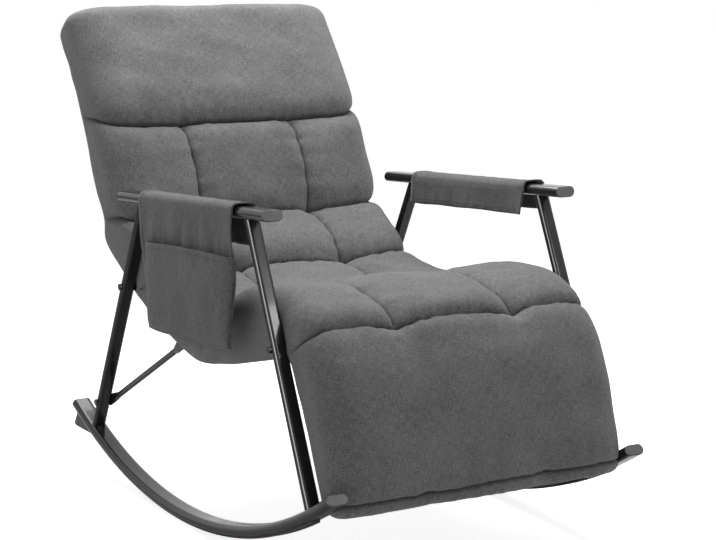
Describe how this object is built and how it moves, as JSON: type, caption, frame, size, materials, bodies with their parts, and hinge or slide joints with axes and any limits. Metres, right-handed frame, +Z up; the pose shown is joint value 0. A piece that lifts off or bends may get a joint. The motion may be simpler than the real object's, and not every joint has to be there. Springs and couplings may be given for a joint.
{
  "type": "rocking lounge chair",
  "caption": "Rocking lounge chair on two bent runners, with a sewn one-piece padded cushion, a reclining back, a swinging footrest, armrest covers and a side pocket.",
  "frame": {"origin": "on the floor, midway between the two runners, at the line on which they rest", "axes": "+Z up, +Y towards the back of the chair, +X towards the sitter's left"},
  "size_m": [0.6696, 1.1586, 0.9338],
  "materials": {
    "black_tube": "gloss",
    "plug_plastic": "matte",
    "tread_rubber": "matte",
    "black_hardware": "satin",
    "hinge_steel": "satin",
    "webbing": "matte",
    "cloth": "matte"
  },
  "bodies": {
    "chair": {"armrest_tube_right": "black_tube", "armrest_tube_left": "black_tube", "armrest_plugs_right": "plug_plastic", "armrest_plugs_left": "plug_plastic", "front_leg_right": "black_tube", "front_leg_left": "black_tube", "rear_leg_right": "black_tube", "rear_leg_left": "black_tube", "runner_right": "black_tube", "runner_left": "black_tube", "runner_plugs_right": "plug_plastic", "runner_plugs_left": "plug_plastic", "tread_strip_right": "tread_rubber", "tread_strip_left": "tread_rubber", "tip_stopper_right": "plug_plastic", "tip_stopper_left": "plug_plastic", "seat_rail_right": "black_tube", "seat_rail_left": "black_tube", "diagonal_brace_right": "black_tube", "diagonal_brace_left": "black_tube", "armrest_cover_right": "cloth", "armrest_cover_left": "cloth", "side_pocket": "cloth", "bolts": "black_hardware", "nuts": "black_hardware", "spacers": "black_hardware", "seat_front_tube": "black_tube", "seat_rear_tube": "black_tube", "seat_webbing": "webbing", "seat_pad_front": "cloth", "seat_pad_middle": "cloth", "seat_pad_rear": "cloth", "back_hinge_disc_right": "hinge_steel", "back_hinge_disc_left": "hinge_steel", "foot_hinge_disc_right": "hinge_steel", "foot_hinge_disc_left": "hinge_steel"},
    "back": {"back_frame": "black_tube", "back_stay": "black_tube", "back_webbing": "webbing", "back_pad": "cloth", "head_pad": "cloth", "back_hinge_fork_right": "hinge_steel", "back_hinge_fork_left": "hinge_steel", "back_hinge_pivots": "hinge_steel", "back_hinge_pawl_rivets": "hinge_steel"},
    "footrest": {"foot_frame": "black_tube", "foot_stay": "black_tube", "foot_webbing": "webbing", "foot_pad": "cloth", "foot_hinge_fork_right": "hinge_steel", "foot_hinge_fork_left": "hinge_steel", "foot_hinge_pivots": "hinge_steel", "foot_hinge_pawl_rivets": "hinge_steel"},
    "back_pawl_right": {"back_hinge_pawl_right": "hinge_steel"},
    "back_pawl_left": {"back_hinge_pawl_left": "hinge_steel"},
    "foot_pawl_right": {"foot_hinge_pawl_right": "hinge_steel"},
    "foot_pawl_left": {"foot_hinge_pawl_left": "hinge_steel"}
  },
  "joints": [
    {"name": "back_recline", "type": "hinge", "parent": "chair", "child": "back", "pos_m": [0, 0.33552, 0.48364], "axis": [-1, 0, 0], "range_deg": [0, 60]},
    {"name": "foot_raise", "type": "hinge", "parent": "chair", "child": "footrest", "pos_m": [0, -0.432, 0.405], "axis": [-1, 0, 0], "range_deg": [0, 60]},
    {"name": "back_pawl_lift_right", "type": "hinge", "parent": "back", "child": "back_pawl_right", "pos_m": [-0.275, 0.35244, 0.5126], "axis": [1, 0, 0], "range_deg": [0, 6], "stiffness_Nm_per_rad": 0.02, "springref_deg": -5.73},
    {"name": "back_pawl_lift_left", "type": "hinge", "parent": "back", "child": "back_pawl_left", "pos_m": [0.275, 0.35244, 0.5126], "axis": [1, 0, 0], "range_deg": [0, 6], "stiffness_Nm_per_rad": 0.02, "springref_deg": -5.73},
    {"name": "foot_pawl_lift_right", "type": "hinge", "parent": "footrest", "child": "foot_pawl_right", "pos_m": [-0.275, -0.4509, 0.37729], "axis": [1, 0, 0], "range_deg": [0, 6], "stiffness_Nm_per_rad": 0.02, "springref_deg": -5.73},
    {"name": "foot_pawl_lift_left", "type": "hinge", "parent": "footrest", "child": "foot_pawl_left", "pos_m": [0.275, -0.4509, 0.37729], "axis": [1, 0, 0], "range_deg": [0, 6], "stiffness_Nm_per_rad": 0.02, "springref_deg": -5.73}
  ]
}
